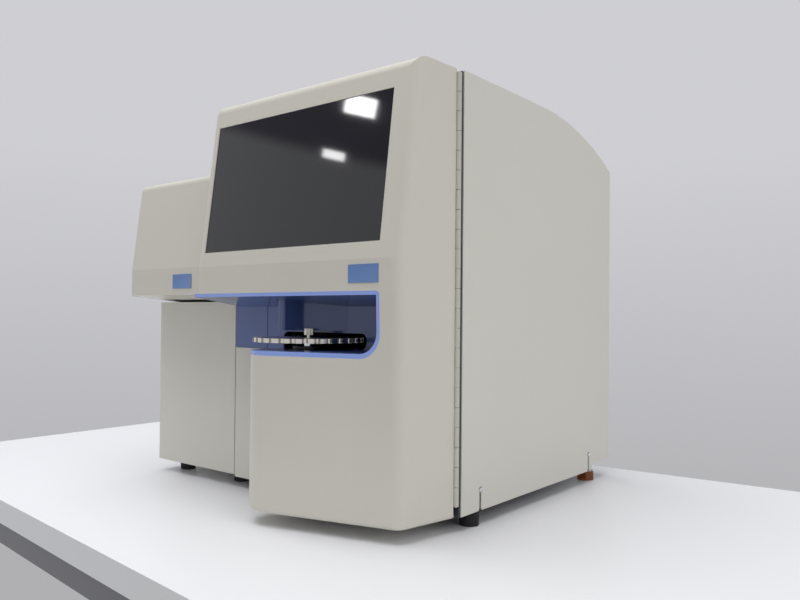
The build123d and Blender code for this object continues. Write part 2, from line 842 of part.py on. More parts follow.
def pump_body(height):
    """Pump block with a round race, open to the front and at its left side for the tube."""
    half = pump_side / 2
    y = (chassis_front - pump_depth, chassis_front)
    body = block((pump_x - half, pump_x + half), y, (height - half, height + half))
    body = fillet(body.edges().filter_by(Axis.Y), 5)
    floor = y[1] - pump_floor
    body -= peg(pump_x, (y[0], floor), height, pump_race)
    body -= block((pump_x - half, pump_x), (y[0], floor), (height - pump_race / 2, height + pump_race / 2))
    return body - peg(pump_x, (floor, y[1]), height, pump_shaft + 2 * running_clearance)


def pump_rotor(height):
    """Two discs with three rollers between them, on a shaft in the pump block."""
    floor = chassis_front - pump_floor - 0.5
    front = chassis_front - pump_depth + 2
    rotor = peg(pump_x, (floor - 2, floor), height, roller_circle + 4)
    rotor += peg(pump_x, (front, front + 2), height, roller_circle + 4)
    rotor += peg(pump_x, (front - 4, chassis_front - seat_gap), height, pump_shaft)
    for step in range(3):
        angle = math.radians(90 + 120 * step)
        x = pump_x + roller_circle / 2 * math.cos(angle)
        z = height + roller_circle / 2 * math.sin(angle)
        rotor += peg(x, (front + 2, floor - 2), z, roller_diameter)
    return rotor


def pump_tube(height):
    """Soft pump tube laid round the race, its two ends leading out to the left."""
    radius = pump_race / 2 - tube_diameter / 2 - 0.1
    y = (chassis_front - pump_depth + chassis_front - pump_floor) / 2
    low = (pump_x, y, height - radius)
    high = (pump_x, y, height + radius)
    far = sensor_left + sensor_width
    path = Line((far, y, height - radius), low)
    path += ThreePointArc(low, (pump_x + radius, y, height), high)
    path += Line(high, (far, y, height + radius))
    section = Plane(origin=(far, y, height - radius), z_dir=(1, 0, 0)) * Circle(tube_diameter / 2)
    return sweep(section, path=path)


# Sensor module

def sensor_manifold():
    """Flow block on the bulkhead with two recessed seats for the sensor cards."""
    y = (chassis_front - sensor_depth, chassis_front)
    body = block((sensor_left, sensor_left + sensor_width), y, (sensor_bottom, sensor_bottom + sensor_height))
    body = fillet(body.edges().filter_by(Axis.Y), 6)
    for low in card_places:
        x = (card_left - seat_gap, card_left + card_width + seat_gap)
        body -= block(x, (y[0], card_front + card_depth), (low - seat_gap, low + card_height + seat_gap))
    return body


def sensor_card(low):
    """Sensor cartridge with a row of electrode windows and a grip tab."""
    card = block((card_left, card_left + card_width), (card_front, card_front + card_depth),
                 (low, low + card_height))
    card = fillet(card.edges().filter_by(Axis.Y), card_radius)
    for step in range(electrode_count):
        x = card_left + electrode_pitch * (step + 1)
        card -= peg(x, (card_front, card_front + electrode_depth), low + card_height / 2, electrode_diameter)
    return card


def card_lever(low):
    """Short turn latch over the right edge of a sensor card, on a shouldered screw."""
    back = card_front - seat_gap
    z = low + card_height / 2
    bar = Pos(lever_pivot_x - lever_length / 2, back - lever_thickness / 2, z)
    lever = bar * Rot(90, 0, 0) * extrude(SlotOverall(lever_length + lever_width, lever_width),
                                          lever_thickness / 2, both=True)
    tab = block((lever_pivot_x - lever_length, lever_pivot_x - lever_length + lever_tab),
                (back - lever_thickness - lever_tab, back - lever_thickness), (z - lever_width / 3,
                                                                               z + lever_width / 3))
    return lever + tab - peg(lever_pivot_x, (back - lever_thickness, back), z,
                             latch_screw + 2 * running_clearance)


def lever_pins():
    """Shouldered screws that the two turn latches swing on."""
    head = card_front - 2 * seat_gap - lever_thickness
    group = Part()
    for low in card_places:
        z = low + card_height / 2
        group += peg(lever_pivot_x, (card_front, sensor_front), z, latch_shoulder)
        group += peg(lever_pivot_x, (head, card_front), z, latch_screw)
        group += peg(lever_pivot_x, (head - latch_head, head), z, latch_shoulder)
    return group


# Reagents

def reagent_tray():
    """Open-fronted moulded box behind the bulkhead that the two reagent packs slide into."""
    x, z = (tray_left, tray_right), (tray_bottom, tray_top)
    y = (chassis_front, pack_back + pack_gap + tray_wall)
    tray = block(x, y, z)
    tray -= block((x[0] + tray_wall, x[1] - tray_wall), (y[0], y[1] - tray_wall),
                  (z[0] + tray_wall, z[1] - tray_wall))
    return tray


def reagent_pack(left):
    """Sealed reagent cartridge with a finger recess in its front."""
    low = tray_bottom + tray_wall + seat_gap
    pack = block((left, left + pack_width), (pack_front, pack_back), (low, low + pack_height))
    pack = fillet(pack.edges().filter_by(Axis.Y), pack_radius)
    grip = block((left + 20, left + pack_width - 20), (pack_front, pack_front + 14),
                 (low + pack_height - 50, low + pack_height - 24))
    return pack - grip


# Inside and rear

def power_supply():
    """Enclosed mains supply on the base."""
    case = block(supply_x, supply_y, (chassis_sheet, chassis_sheet + supply_height))
    for step in range(8):
        y = supply_y[0] + 30 + step * 16
        case -= block((supply_x[0] + 12, supply_x[1] - 12), (y, y + 5),
                      (chassis_sheet + supply_height - 2, chassis_sheet + supply_height))
    return case


def control_board():
    """Main board on pillars over the shelf, with its larger components."""
    x = (board_left, board_left + board_width)
    y = (board_front, board_front + board_depth)
    base = shelf_height + chassis_sheet + pillar_height
    top = base + board_thickness
    board = block(x, y, (base, top))
    for across, along, height in board_components:
        middle = (x[0] + across, y[0] + along)
        board += block((middle[0] - component_side / 2, middle[0] + component_side / 2),
                       (middle[1] - component_side / 2, middle[1] + component_side / 2), (top, top + height))
    return board


def board_shelf():
    """Sheet shelf between the side panels that carries the board on four pillars."""
    low = shelf_height + chassis_sheet
    shelf = block((inner_left, inner_right), (board_front - board_margin, board_front + board_depth + board_margin),
                  (shelf_height, low))
    for x in (board_left + board_margin, board_left + board_width - board_margin):
        for y in (board_front + board_margin, board_front + board_depth - board_margin):
            shelf += post(x, y, (low, low + pillar_height), pillar_diameter)
    return shelf


def fan_frame():
    """Square fan frame behind the rear panel with a round duct and a centre motor mount."""
    half = fan_side / 2
    y = (rear_face - sheet - fan_depth, rear_face - sheet)
    frame = block((fan_x - half, fan_x + half), y, (fan_z - half, fan_z + half))
    frame = fillet(frame.edges().filter_by(Axis.Y), 6)
    frame -= peg(fan_x, y, fan_z, fan_bore)
    strut = block((fan_x - half + 2, fan_x + half - 2), (y[0], y[0] + 3), (fan_z - 3, fan_z + 3))
    strut += block((fan_x - 3, fan_x + 3), (y[0], y[0] + 3), (fan_z - half + 2, fan_z + half - 2))
    frame += strut + peg(fan_x, (y[0], y[0] + 3), fan_z, 34)
    return frame - peg(fan_x, y, fan_z, 4 + 2 * running_clearance)


def fan_rotor():
    """Hub with seven pitched blades."""
    y = (rear_face - sheet - fan_depth + 3.5, rear_face - sheet - 2.5)
    rotor = peg(fan_x, y, fan_z, 34)
    rotor += peg(fan_x, (y[0] - 3.5, y[0]), fan_z, 4)
    depth = y[1] - y[0]
    reach = fan_bore / 2 - 1.5
    for step in range(7):
        blade = Pos(0, 0, (reach + 12) / 2) * Rot(0, 0, 40) * Box(1.6, depth, reach - 12)
        rotor += Pos(fan_x, (y[0] + y[1]) / 2, fan_z) * Rot(0, step * 360 / 7, 0) * blade
    return rotor & peg(fan_x, (y[0] - 3.5, y[1]), fan_z, 2 * reach)


def fan_guard():
    """Flat wire-style guard over the fan opening: three rings and a cross."""
    y = (rear_face, rear_face + 1.6)
    guard = Part()
    for radius in (16, 29, 42):
        guard += peg(fan_x, y, fan_z, 2 * radius + 2) - peg(fan_x, y, fan_z, 2 * radius - 2)
    for turn in (45, 135):
        guard += Pos(fan_x, y[0] + 0.8, fan_z) * Rot(0, turn, 0) * Box(112, 1.6, 3)
    return guard


def power_inlet():
    """Mains inlet module: flanged body with the socket below and the switch well above."""
    body_y = (rear_face - 24, rear_face)
    x = (inlet_x - inlet_width / 2, inlet_x + inlet_width / 2)
    z = (inlet_z - inlet_height / 2, inlet_z + inlet_height / 2)
    body = block(x, body_y, z)
    body += block((x[0] - 4, x[1] + 4), (rear_face, rear_face + 2), (z[0] - 3, z[1] + 3))
    socket = Polygon((inlet_x - 12, socket_low), (inlet_x + 12, socket_low), (inlet_x + 12, socket_low + 11),
                     (inlet_x + 8, socket_low + 16), (inlet_x - 8, socket_low + 16),
                     (inlet_x - 12, socket_low + 11), align=None)
    body -= front_slab(socket, (rear_face - 14, rear_face + 2))
    for x_pin, z_pin in ((-7, 5), (0, 10), (7, 5)):
        body += block((inlet_x + x_pin - 1, inlet_x + x_pin + 1), (rear_face - 14, rear_face - 1),
                      (socket_low + z_pin - 2, socket_low + z_pin + 2))
    well = (inlet_x - rocker_width / 2 - 0.5, inlet_x + rocker_width / 2 + 0.5)
    body -= block(well, (rear_face - 12, rear_face + 2),
                  (rocker_z - rocker_height / 2 - 0.5, rocker_z + rocker_height / 2 + 0.5))
    return body - rocker_axle(running_clearance)


def rocker_axle(gap):
    """Axle of the mains rocker, or with a gap the hole it turns in."""
    axle = Rot(0, 90, 0) * Cylinder(rocker_axle_diameter / 2 + gap, rocker_width + 2 * rocker_stub + 2 * gap)
    return Pos(inlet_x, rear_face - rocker_sink, rocker_z) * axle


def power_rocker():
    """Rocker of the mains switch on its axle, pressed at its lower half, its two faces dished."""
    half = rocker_height / 2 - 1
    side = Polygon((-3, -half / 2), (-3, half / 2), (rocker_sink + 0.5, half), (rocker_sink - 1, 0),
                   (rocker_sink + 0.5, -half), align=None)
    rocker = side_slab(side, (-rocker_width / 2, rocker_width / 2))
    return Pos(inlet_x, rear_face - rocker_sink, rocker_z) * Rot(-rocker_throw / 2, 0, 0) * rocker + rocker_axle(0)


def data_ports():
    """Shielded sockets in a row: two flat and one network jack."""
    group = Part()
    for x, z, width, height in port_openings():
        shell = block((x - width / 2, x + width / 2), (rear_face - 16, rear_face + 0.6),
                      (z - height / 2, z + height / 2))
        shell -= block((x - width / 2 + 0.7, x + width / 2 - 0.7), (rear_face - 14, rear_face + 0.6),
                       (z - height / 2 + 0.7, z + height / 2 - 0.7))
        if height < 8:
            shell += block((x - width / 2 + 1.5, x + width / 2 - 1.5), (rear_face - 14, rear_face - 2),
                           (z - 1, z + 1))
        group += shell
    return group


# Side module

def module_head():
    """Moulded head of the side module: upright brow, tilted upper face and a sloping underside."""
    def form(inset, back):
        front = -module_head_front + inset
        top = module_top - inset
        upper = front + (top - module_crease) * tilt_tangent
        low = module_head_bottom + inset
        drop = module_underside_drop
        side = Polygon((back, low - drop), (front, low), (front, module_crease), (upper, top), (back, top),
                       align=None)
        body = side_slab(side, (module_left + inset, left_face - 2 - inset))
        rounded = [e for e in body.edges() if e.center().Y < back - 1 and e.center().Z > low + 1
                   and not (abs(e.center().Z - module_crease) < 1 and abs(e.center().X - e.vertices()[0].X) > 5)]
        return fillet(rounded, module_radius - inset)
    return form(0, module_head_back) - form(module_wall, module_head_back + 1)


def module_case():
    """Folded case behind the module's front and head, open at both."""
    x = (module_left, left_face)
    case = block(x, (module_front + module_wall, module_rear - sheet), (module_bottom, module_top))
    case -= block((x[0] + sheet, x[1] - sheet), (module_front + module_wall, module_rear - sheet),
                  (module_bottom + sheet, module_top - sheet))
    return case - block(x, (module_front, module_head_back), (module_head_bottom - module_underside_drop, module_top))


def module_front_panel():
    """Lower front panel of the side module."""
    x = (module_left, left_face - 2)
    return block(x, (module_front, module_front + module_wall),
                 (module_bottom, module_head_bottom - module_underside_drop))


def module_rear_panel():
    panel = block((module_left, left_face), (module_rear - sheet, module_rear), (module_bottom, module_top))
    vent = SlotOverall(vent_length, vent_width)
    for row in range(vent_rows):
        panel -= front_slab(Pos(module_left + module_width / 2, vent_z + row * vent_pitch_z) * vent,
                            (module_rear - sheet, module_rear))
    return panel


def cooling_block():
    """Finned cooling block and its measuring cell inside the side module."""
    x, y, z = module_left + 105, 120, module_bottom + sheet
    body = block((x - 35, x + 35), (y - 35, y + 35), (z, z + 120))
    for step in range(6):
        body -= block((x - 35, x + 35), (y - 30 + step * 11, y - 25 + step * 11), (z, z + 60))
    return body + post(x, y, (z + 120, z + 170), 24)


foot_columns = (inner_right - front_foot_inset, inner_left + front_foot_inset)
rear_foot_columns = (inner_right - rear_foot_inset, inner_left + rear_foot_inset)
module_foot_places = [(x, y) for x in (module_left + 30, left_face - 30) for y in (20, module_rear - 40)]
pieces = {
    "side_panel_right": side_panel(right_face, -1),
    "side_panel_left": side_panel(left_face, 1),
    "top_cover": top_cover(),
    "base_pan": base_pan(),
    "chassis_plate": chassis_plate(),
    "rear_panel": rear_panel(),
    "front_feet": feet([(x, front_foot_y) for x in foot_columns], front_foot_diameter, 0),
    "rear_feet": amber_feet([(x, rear_face - rear_foot_back) for x in rear_foot_columns]),
    "panel_screws": panel_screws(),
    "door_shell": door_shell(),
    "bay_liner": bay_liner(),
    "ceiling_end": ceiling_end(),
    "display_glass": display_glass(),
    "display_module": display_module(),
    "door_stiffener": door_stiffener(),
    "hinge_leaf_door": hinge_leaf(-1, 0),
    "hinge_leaf_cabinet": hinge_leaf(1, 1),
    "hinge_pin": hinge_pin(),
    "bay_wall": bay_wall(),
    "bay_end_wall": bay_end_wall(),
    "lower_fascia": lower_fascia(),
    "sampler_hood": sampler_hood(),
    "carousel_disc": carousel_disc(),
    "carousel_spindle": spindle(),
    "carousel_arm": carousel_arm(),
    "clamp_knob": clamp_knob(),
    "probe_bracket": probe_bracket(),
    "guide_rod": guide_rod(),
    "probe_actuator": probe_actuator(),
    "probe_carriage": probe_carriage(),
    "sample_probe": sample_probe(),
    "pump_body_lower": pump_body(pump_heights[0]),
    "pump_body_upper": pump_body(pump_heights[1]),
    "pump_rotor_lower": pump_rotor(pump_heights[0]),
    "pump_rotor_upper": pump_rotor(pump_heights[1]),
    "pump_tubes": pump_tube(pump_heights[0]) + pump_tube(pump_heights[1]),
    "sensor_manifold": sensor_manifold(),
    "sensor_card_lower": sensor_card(card_places[0]),
    "sensor_card_upper": sensor_card(card_places[1]),
    "card_lever_lower": card_lever(card_places[0]),
    "card_lever_upper": card_lever(card_places[1]),
    "lever_pins": lever_pins(),
    "reagent_tray": reagent_tray(),
    "reagent_pack_left": reagent_pack(tray_left + tray_wall + pack_gap),
    "reagent_pack_right": reagent_pack(tray_left + tray_wall + 2 * pack_gap + pack_width),
    "power_supply": power_supply(),
    "board_shelf": board_shelf(),
    "control_board": control_board(),
    "fan_frame": fan_frame(),
    "fan_rotor": fan_rotor(),
    "fan_guard": fan_guard(),
    "power_inlet": power_inlet(),
    "power_rocker": power_rocker(),
    "data_ports": data_ports(),
    "module_head": module_head(),
    "module_case": module_case(),
    "module_front": module_front_panel(),
    "module_rear": module_rear_panel(),
    "module_feet": feet(module_foot_places, front_foot_diameter, module_bottom),
    "module_core": cooling_block(),
}

whole = Compound(children=[Part() + piece for piece in pieces.values()]).bounding_box()
to_bench = Pos(-(whole.min.X + whole.max.X) / 2, -(whole.min.Y + whole.max.Y) / 2, -whole.min.Z)
os.makedirs("parts", exist_ok=True)
for name, piece in pieces.items():
    export_step(to_bench * piece, f"parts/{name}.step")
print(len(pieces), "pieces, overall size", whole.size, "moved by", to_bench.position)
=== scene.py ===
# %% [markdown]
# # A bench-top cell culture analyzer
# The analyzer comes in as a finished CAD model, and Blender gives it its paint, plastics, metals,
# glass and light. Each cell is one small step. The CAD nodes stay where they are; what is new is
# the finish of every piece, two bare badge plates, and the studio round them.

# %% Load the CAD frame
import bpy
import math
from mathutils import Matrix, Vector


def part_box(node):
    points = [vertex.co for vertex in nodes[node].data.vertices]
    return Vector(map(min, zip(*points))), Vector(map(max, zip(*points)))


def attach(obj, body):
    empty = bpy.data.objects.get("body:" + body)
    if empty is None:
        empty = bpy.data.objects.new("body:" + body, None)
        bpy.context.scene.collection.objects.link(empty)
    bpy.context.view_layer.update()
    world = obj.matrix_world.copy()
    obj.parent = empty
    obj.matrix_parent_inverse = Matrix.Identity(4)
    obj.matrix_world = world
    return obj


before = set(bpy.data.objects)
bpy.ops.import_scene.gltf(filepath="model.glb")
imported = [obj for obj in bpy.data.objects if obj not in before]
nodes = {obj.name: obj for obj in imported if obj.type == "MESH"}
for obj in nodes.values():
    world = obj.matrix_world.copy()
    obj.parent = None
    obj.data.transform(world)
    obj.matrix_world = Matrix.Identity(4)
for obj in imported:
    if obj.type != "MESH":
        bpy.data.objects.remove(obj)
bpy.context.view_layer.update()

# %% [markdown]
# ## A place to measure from
# The cabinet was drawn from the door's hinge line, so places are easiest to give from there:
# X to the right, Y to the back, Z up from the lower edge of the side panels. The hinge pin and
# the side panel of the CAD model say where that point lies in the scene. Blender works in metres.

# %% Origin on the hinge line
pin_low, pin_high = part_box("hinge_pin")
panel_low, panel_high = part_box("side_panel_right")
hinge = Vector(((pin_low[0] + pin_high[0]) / 2, (pin_low[1] + pin_high[1]) / 2, panel_low[2]))


def at(x, y, z):
    """A point given in millimetres from the hinge line, as metres in the scene."""
    return hinge + Vector((x, y, z)) / 1000


print("hinge line stands at", tuple(round(v, 4) for v in hinge))

# %% [markdown]
# ## The camera
# The photograph was taken from the analyzer's front right, a little under half its height, almost
# level, with a mild telephoto crop. Its place, turn and focal length were solved from straight
# edges of known size. The small vertical shift moves the picture without tilting the verticals.

# %% Camera
camera_place = (543.5, -793.5, 258.8)
yaw, pitch, roll = math.radians(38.80), math.radians(0.69), math.radians(-0.50)
sensor_width = 36
focal_length = 33.57
frame_shift = 0.0084
forward = Vector((-math.sin(yaw) * math.cos(pitch), math.cos(yaw) * math.cos(pitch), math.sin(pitch)))
level = Vector((math.cos(yaw), math.sin(yaw), 0))
right = math.cos(roll) * level + math.sin(roll) * forward.cross(level)
up = right.cross(forward)
lens = bpy.data.cameras.new("camera")
lens.sensor_width = sensor_width
lens.lens = focal_length
lens.shift_y = frame_shift
camera = bpy.data.objects.new("camera", lens)
bpy.context.collection.objects.link(camera)
turn = Matrix((right, up, -forward)).transposed().to_4x4()
camera.matrix_world = Matrix.Translation(at(*camera_place)) @ turn
bpy.context.scene.camera = camera
print("camera at", tuple(round(v, 3) for v in camera.location))

# %% [markdown]
# ## The studio
# The analyzer stands on a white laminate bench in front of a light grey wall. The bench top is a
# slab with four corners, which lie where the photograph's bench edges meet when they are followed
# back to the bench's own level. A plane is moved corner by corner and then extruded downwards. A
# darker rail runs under its near edge; its grey is a painted shadow beneath that edge.

# %% Bench
def clear_selection():
    if bpy.context.object and bpy.context.object.mode != "OBJECT":
        bpy.ops.object.mode_set(mode="OBJECT")
    bpy.ops.object.select_all(action="DESELECT")


def linear(red, green, blue):
    """A colour read off a picture, 0 to 255, as the linear values that a shader takes."""
    return tuple(((v / 255 + 0.055) / 1.055) ** 2.4 for v in (red, green, blue))


bench_level = -19.3
bench_thickness = 34
bench_corners = ((-1128, -248), (1900, -545), (1900, 639), (-1145, 470))
rail_depth = 40
rail_corners = ((-1100, -238), (1880, -530), (1880, -490), (-1100, -198))


def slab(name, corners, top, thickness, finish):
    """A board with four given corners: a plane set corner by corner, then extruded down."""
    clear_selection()
    bpy.ops.mesh.primitive_plane_add(size=1, location=(0, 0, 0))
    board = bpy.context.object
    board.name = name
    round_the_plane = (0, 1, 3, 2)
    for place, (x, y) in zip(round_the_plane, corners):
        board.data.vertices[place].co = at(x, y, top)
    bpy.ops.object.mode_set(mode="EDIT")
    bpy.ops.mesh.select_all(action="SELECT")
    bpy.ops.mesh.extrude_region_move(TRANSFORM_OT_translate={"value": (0, 0, -thickness / 1000)})
    bpy.ops.mesh.select_all(action="SELECT")
    bpy.ops.mesh.normals_make_consistent(inside=False)
    bpy.ops.object.mode_set(mode="OBJECT")
    board.data.materials.append(finish)
    return board


bench_paint = bpy.data.materials.new("bench_laminate")
bench_paint.use_nodes = True
shader = bench_paint.node_tree.nodes["Principled BSDF"]
shader.inputs["Base Color"].default_value = (*linear(238, 239, 243), 1)
shader.inputs["Roughness"].default_value = 0.42
rail_painted_shadow = bpy.data.materials.new("bench_rail_paint")
rail_painted_shadow.use_nodes = True
shader = rail_painted_shadow.node_tree.nodes["Principled BSDF"]
# painted shadow: this grey stands in for the shade beneath the bench's near edge
shader.inputs["Base Color"].default_value = (*linear(112, 112, 118), 1)
bench = slab("bench_top", bench_corners, bench_level, bench_thickness, bench_paint)
rail = slab("bench_rail", rail_corners, bench_level - bench_thickness, rail_depth, rail_painted_shadow)
print("bench size", tuple(round(v, 2) for v in bench.dimensions), "rail", rail.name)

# %% [markdown]
# ## Wall and room light
# The wall is the world's own colour, seen by camera rays only, a little darker low down, a painted
# shade. A glossy screen also mirrors the room: a pale wall low down and a darker ceiling above it,
# so glossy rays get that split by their height above the horizon. All other rays get an even fill.

# %% World
world = bpy.data.worlds.new("studio")
bpy.context.scene.world = world
world.use_nodes = True
net = world.node_tree
net.nodes.clear()
output = net.nodes.new("ShaderNodeOutputWorld")
path = net.nodes.new("ShaderNodeLightPath")
fill = net.nodes.new("ShaderNodeBackground")
fill.inputs["Color"].default_value = (1.0, 0.995, 0.985, 1)
fill.inputs["Strength"].default_value = 0.42
wall = net.nodes.new("ShaderNodeBackground")
room = net.nodes.new("ShaderNodeBackground")
direction = net.nodes.new("ShaderNodeTexCoord")
split = net.nodes.new("ShaderNodeSeparateXYZ")
height = net.nodes.new("ShaderNodeValToRGB")
height.color_ramp.elements[0].position = 0.375
height.color_ramp.elements[0].color = (0.86, 0.87, 0.92, 1)
height.color_ramp.elements[1].position = 0.390
height.color_ramp.elements[1].color = (0.26, 0.26, 0.33, 1)
net.links.new(direction.outputs["Generated"], split.inputs[0])
net.links.new(split.outputs["Z"], height.inputs["Fac"])
net.links.new(height.outputs["Color"], room.inputs["Color"])
rise = net.nodes.new("ShaderNodeMapRange")
rise.inputs["From Min"].default_value = -0.28
rise.inputs["From Max"].default_value = 0.20
wall_painted_shade = net.nodes.new("ShaderNodeValToRGB")
# painted shade: the lower end of this ramp darkens the wall low down
wall_painted_shade.color_ramp.elements[0].color = (*linear(176, 176, 179), 1)
wall_painted_shade.color_ramp.elements[1].color = (*linear(206, 206, 211), 1)
net.links.new(split.outputs["Z"], rise.inputs["Value"])
net.links.new(rise.outputs["Result"], wall_painted_shade.inputs["Fac"])
net.links.new(wall_painted_shade.outputs["Color"], wall.inputs["Color"])
mirrored = net.nodes.new("ShaderNodeMixShader")
net.links.new(path.outputs["Is Glossy Ray"], mirrored.inputs["Fac"])
net.links.new(fill.outputs[0], mirrored.inputs[1])
net.links.new(room.outputs[0], mirrored.inputs[2])
seen = net.nodes.new("ShaderNodeMixShader")
net.links.new(path.outputs["Is Camera Ray"], seen.inputs["Fac"])
net.links.new(mirrored.outputs[0], seen.inputs[1])
net.links.new(wall.outputs[0], seen.inputs[2])
net.links.new(seen.outputs[0], output.inputs["Surface"])
bpy.context.scene.view_settings.view_transform = "Standard"
print("world ready")

# %% [markdown]
# ## Soft lamps
# Two big area lamps light the analyzer: one overhead, and one at the right that lifts the side
# panel. Neither shows in a mirror. Two small ones far off to the left stand for ceiling panels, and
# their only job is the two bright shapes that the dark glass mirrors.

# %% Lamps
def softbox(name, place, aim, size, power):
    """A rectangular area lamp at a place, turned towards another."""
    data = bpy.data.lights.new(name, "AREA")
    data.shape = "RECTANGLE"
    data.size, data.size_y = size
    data.energy = power
    lamp = bpy.data.objects.new(name, data)
    bpy.context.collection.objects.link(lamp)
    lamp.location = place
    lamp.rotation_euler = (Vector(aim) - Vector(place)).to_track_quat("-Z", "Y").to_euler()
    return lamp


overhead = softbox("overhead", (-0.15, -0.35, 2.3), (0, 0, 0.2), (2.6, 1.9), 46)
side_fill = softbox("side_fill", (2.6, -0.3, 1.3), (0.2, 0, 0.25), (1.8, 1.8), 11)
overhead.visible_glossy = False
side_fill.visible_glossy = False

# %% [markdown]
# ## Bright shapes in the glass
# Each of these lamps stands in the direction in which a sight line leaves the glass, so its picture
# falls where the photograph shows it.

# %% Ceiling panels in the glass
panel_distance = 3.2
glass_middle = at(-100, -82, 525)
near_way = Vector((-0.6426, -0.6225, 0.4463))
glass_lower = at(-135, -90, 468)
far_way = Vector((-0.679, -0.626, 0.383))
near_panel = softbox("ceiling_panel", glass_middle + near_way * panel_distance, glass_middle,
                     (0.17, 0.10), 1.2)
far_panel = softbox("ceiling_panel_far", glass_lower + far_way * panel_distance, glass_middle,
                    (0.12, 0.045), 0.25)
print("panels seen in the glass:", near_panel.name, far_panel.name)

# %% [markdown]
# ## Finishes
# Real moulded and painted housings are never one flat colour: the paint has a fine pebble, a
# slight change of tint from place to place, and a roughness that wanders a little. One helper
# builds such a finish from noise on Object coordinates. Every value can be set for each finish.

# %% Finish helper
def coat(name, colour, roughness=0.45, metallic=0.0, tint=0.04, tint_scale=6.0, pebble=0.04,
         pebble_scale=900.0, rough_spread=0.06, stretch=(1, 1, 1), specular=0.5):
    """A procedural finish: drifting tint, wandering roughness and a fine bump."""
    material = bpy.data.materials.new(name)
    material.use_nodes = True
    net = material.node_tree
    shader = net.nodes["Principled BSDF"]
    shader.inputs["Metallic"].default_value = metallic
    shader.inputs["Specular IOR Level"].default_value = specular
    place = net.nodes.new("ShaderNodeTexCoord")
    frame_of = net.nodes.new("ShaderNodeMapping")
    frame_of.inputs["Scale"].default_value = stretch
    net.links.new(place.outputs["Object"], frame_of.inputs["Vector"])
    drift = net.nodes.new("ShaderNodeTexNoise")
    drift.inputs["Scale"].default_value = tint_scale
    drift.inputs["Detail"].default_value = 5.0
    net.links.new(frame_of.outputs[0], drift.inputs["Vector"])
    blend = net.nodes.new("ShaderNodeMix")
    blend.data_type = "RGBA"
    low = tuple(v * (1 - tint) for v in colour)
    high = tuple(min(v * (1 + tint), 1) for v in colour)
    blend.inputs["A"].default_value = (*low, 1)
    blend.inputs["B"].default_value = (*high, 1)
    net.links.new(drift.outputs["Fac"], blend.inputs["Factor"])
    net.links.new(blend.outputs["Result"], shader.inputs["Base Color"])
    wander = net.nodes.new("ShaderNodeMapRange")
    wander.inputs["To Min"].default_value = max(roughness - rough_spread, 0.02)
    wander.inputs["To Max"].default_value = min(roughness + rough_spread, 1)
    net.links.new(drift.outputs["Fac"], wander.inputs["Value"])
    net.links.new(wander.outputs["Result"], shader.inputs["Roughness"])
    grain = net.nodes.new("ShaderNodeTexNoise")
    grain.inputs["Scale"].default_value = pebble_scale
    grain.inputs["Detail"].default_value = 2.0
    net.links.new(frame_of.outputs[0], grain.inputs["Vector"])
    bump = net.nodes.new("ShaderNodeBump")
    bump.inputs["Strength"].default_value = pebble
    bump.inputs["Distance"].default_value = 0.0004
    net.links.new(grain.outputs["Fac"], bump.inputs["Height"])
    net.links.new(bump.outputs["Normal"], shader.inputs["Normal"])
    return material


def dress(material, *names):
    """Gives a finish to CAD nodes, in every material slot that they have."""
    for name in names:
        mesh = nodes[name].data
        if not mesh.materials:
            mesh.materials.append(material)
        for place in range(len(mesh.materials)):
            mesh.materials[place] = material
    print(material.name, "on", ", ".join(names))


# %% [markdown]
# ## Housing paint and door moulding
# The cabinet's sheets carry a warm off-white powder paint; the door and the side module's head are
# moulded in nearly the same colour, a touch yellower with age. Both are semi-matt.

# %% Off-white finishes
cabinet_paint = coat("cabinet_powder_paint", linear(214, 212, 203), roughness=0.42, tint=0.02, pebble=0.10,
                     pebble_scale=1400)
door_moulding = coat("door_moulding_satin", linear(211, 208, 198), roughness=0.40, tint=0.02, pebble=0.06,
                     pebble_scale=1100)
dress(cabinet_paint, "side_panel_right", "side_panel_left", "top_cover", "rear_panel", "lower_fascia",
      "module_case", "module_front", "module_rear")
dress(door_moulding, "door_shell", "module_head")

# %% [markdown]
# ## Blue bay
# The sampling bay is lined with glossy moulded blue parts. Light reaches only the front rim well,
# and that light is painted into the colour: the lining's finish turns from a deep blue to a pale one
# on the faces that look forward, close behind the door's front, a painted highlight of the lit rim.
# Normal and place are both read on the object itself, so the pale rim stays put when the door opens.

# %% Blue finishes
deep_blue = linear(78, 98, 152)
# painted highlight: this pale blue paints the light that falls on the bay's front rim
painted_rim_light_blue = linear(142, 168, 240)
rim_depth = at(0, -84, 0).y
bay_gloss = coat("bay_gloss_blue", deep_blue, roughness=0.16, tint=0.03, pebble=0.015,
                 pebble_scale=300, rough_spread=0.03)
rim_light_gloss = coat("bay_blue_painted_rim_light", deep_blue, roughness=0.18, tint=0.03, pebble=0.015,
                 pebble_scale=300, rough_spread=0.03)


